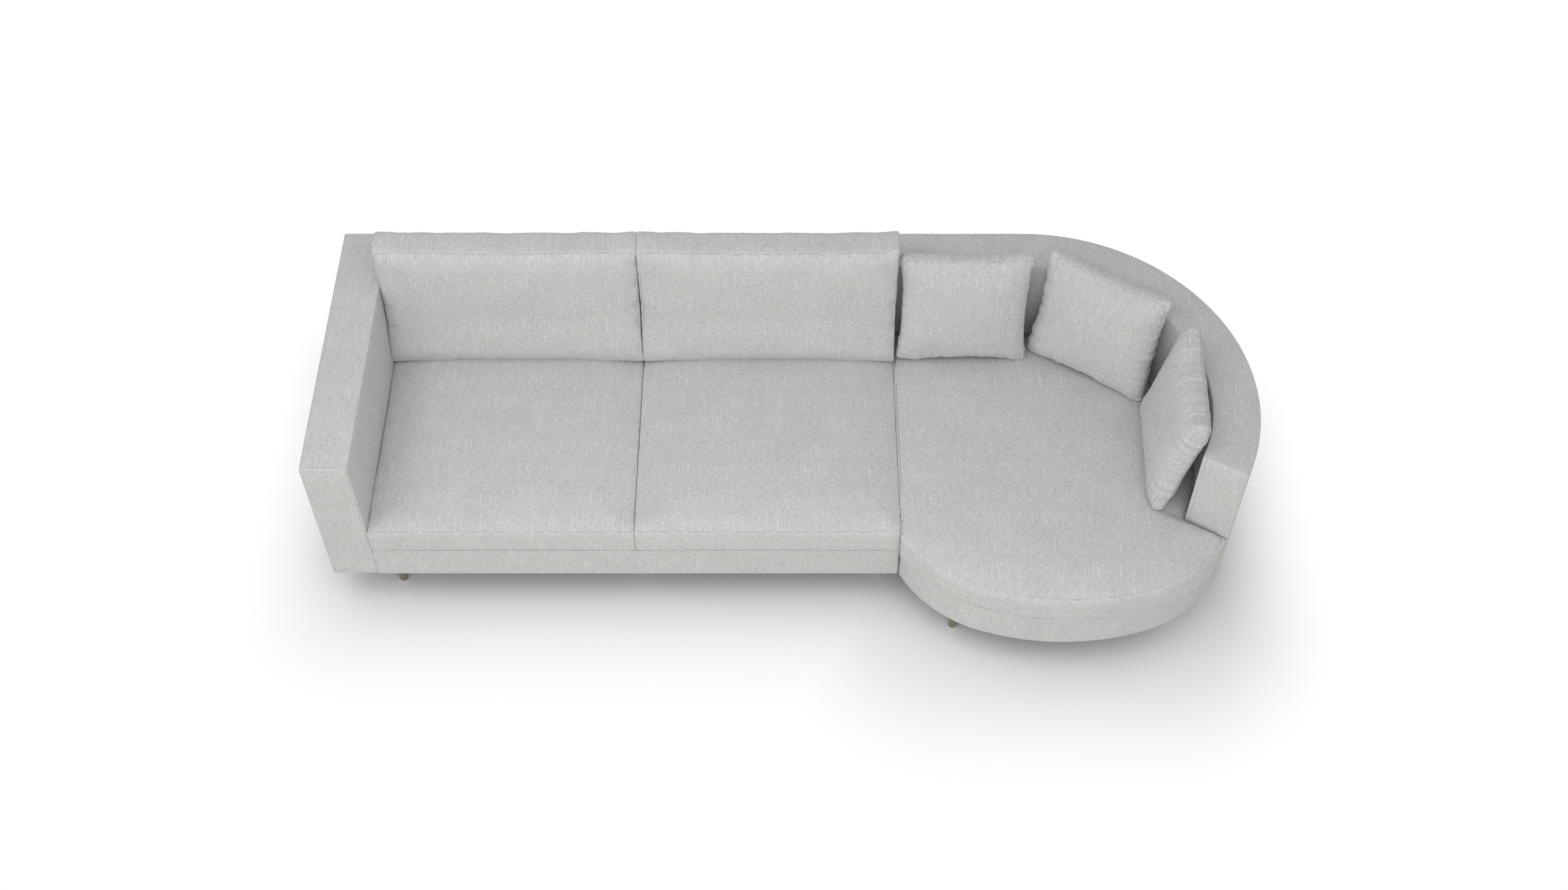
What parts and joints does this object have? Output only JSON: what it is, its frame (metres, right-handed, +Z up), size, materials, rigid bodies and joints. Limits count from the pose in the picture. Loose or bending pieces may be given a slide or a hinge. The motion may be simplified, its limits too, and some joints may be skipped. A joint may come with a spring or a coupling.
{
  "type": "sofa with chaise",
  "caption": "Left-arm sofa with a straight back, coupled to a rounded chaise whose curved back wraps round it, with loose seat, back and scatter cushions on slim metal legs.",
  "frame": {"origin": "on the floor under the centre of the whole footprint", "axes": "+X along the sofa from the arm towards the chaise, +Y towards the back, +Z up"},
  "size_m": [2.8122, 1.193, 0.8301],
  "materials": {
    "linen": "matte",
    "beech": "matte",
    "spring_steel": "satin",
    "nickel": "polished",
    "nylon": "satin",
    "deck_cloth": "matte",
    "underlining": "matte"
  },
  "bodies": {
    "frame": {"arm_cover": "linen", "arm_post_front": "beech", "arm_post_rear": "beech", "arm_top_plank": "beech", "back_cover": "linen", "back_post_left": "beech", "back_post_right": "beech", "back_top_plank": "beech", "chaise_deck_cloth": "deck_cloth", "chaise_dust_cover": "underlining", "chaise_rail_cover": "linen", "chaise_rail_curved": "beech", "chaise_rail_front": "beech", "chaise_rail_left": "beech", "chaise_spring_rail": "beech", "chaise_springs": "spring_steel", "coupling_hook": "spring_steel", "coupling_socket": "spring_steel", "curved_back_cover": "linen", "curved_back_post_end": "beech", "curved_back_post_left": "beech", "curved_back_top_plank": "beech", "dust_cover": "underlining", "glide_chaise_front_left": "nylon", "glide_chaise_front_right": "nylon", "glide_chaise_rear_left": "nylon", "glide_chaise_rear_right": "nylon", "glide_front_left": "nylon", "glide_front_middle": "nylon", "glide_front_right": "nylon", "glide_rear_left": "nylon", "glide_rear_right": "nylon", "leg_chaise_front_left": "nickel", "leg_chaise_front_right": "nickel", "leg_chaise_rear_left": "nickel", "leg_chaise_rear_right": "nickel", "leg_front_left": "nickel", "leg_front_middle": "nickel", "leg_front_right": "nickel", "leg_rear_left": "nickel", "leg_rear_right": "nickel", "seat_deck_cloth": "deck_cloth", "seat_rail_centre": "beech", "seat_rail_cover": "linen", "seat_rail_front": "beech", "seat_rail_left": "beech", "seat_rail_rear": "beech", "seat_rail_right": "beech", "seat_springs_left": "spring_steel", "seat_springs_right": "spring_steel", "spring_rail": "beech"},
    "seat_cushion_left": {"seat_cushion_left": "linen"},
    "seat_cushion_right": {"seat_cushion_right": "linen"},
    "chaise_cushion": {"chaise_cushion": "linen"},
    "back_cushion_left": {"back_cushion_left": "linen"},
    "back_cushion_right": {"back_cushion_right": "linen"},
    "pillow_left": {"pillow_left": "linen"},
    "pillow_middle": {"pillow_middle": "linen"},
    "pillow_right": {"pillow_right": "linen"}
  },
  "joints": [
    {"name": "seat_cushion_left_lift", "type": "slide", "parent": "frame", "child": "seat_cushion_left", "axis": [0, 0, 1], "range_m": [0, 0.45]},
    {"name": "seat_cushion_right_lift", "type": "slide", "parent": "frame", "child": "seat_cushion_right", "axis": [0, 0, 1], "range_m": [0, 0.45]},
    {"name": "chaise_cushion_lift", "type": "slide", "parent": "frame", "child": "chaise_cushion", "axis": [0, 0, 1], "range_m": [0, 0.45]},
    {"name": "back_cushion_left_lift", "type": "slide", "parent": "seat_cushion_left", "child": "back_cushion_left", "axis": [0, 0, 1], "range_m": [0, 0.45]},
    {"name": "back_cushion_right_lift", "type": "slide", "parent": "seat_cushion_right", "child": "back_cushion_right", "axis": [0, 0, 1], "range_m": [0, 0.45]},
    {"name": "pillow_left_lift", "type": "slide", "parent": "chaise_cushion", "child": "pillow_left", "axis": [0, 0, 1], "range_m": [0, 0.45]},
    {"name": "pillow_middle_lift", "type": "slide", "parent": "chaise_cushion", "child": "pillow_middle", "axis": [0, 0, 1], "range_m": [0, 0.45]},
    {"name": "pillow_right_lift", "type": "slide", "parent": "chaise_cushion", "child": "pillow_right", "axis": [0, 0, 1], "range_m": [0, 0.45]}
  ]
}
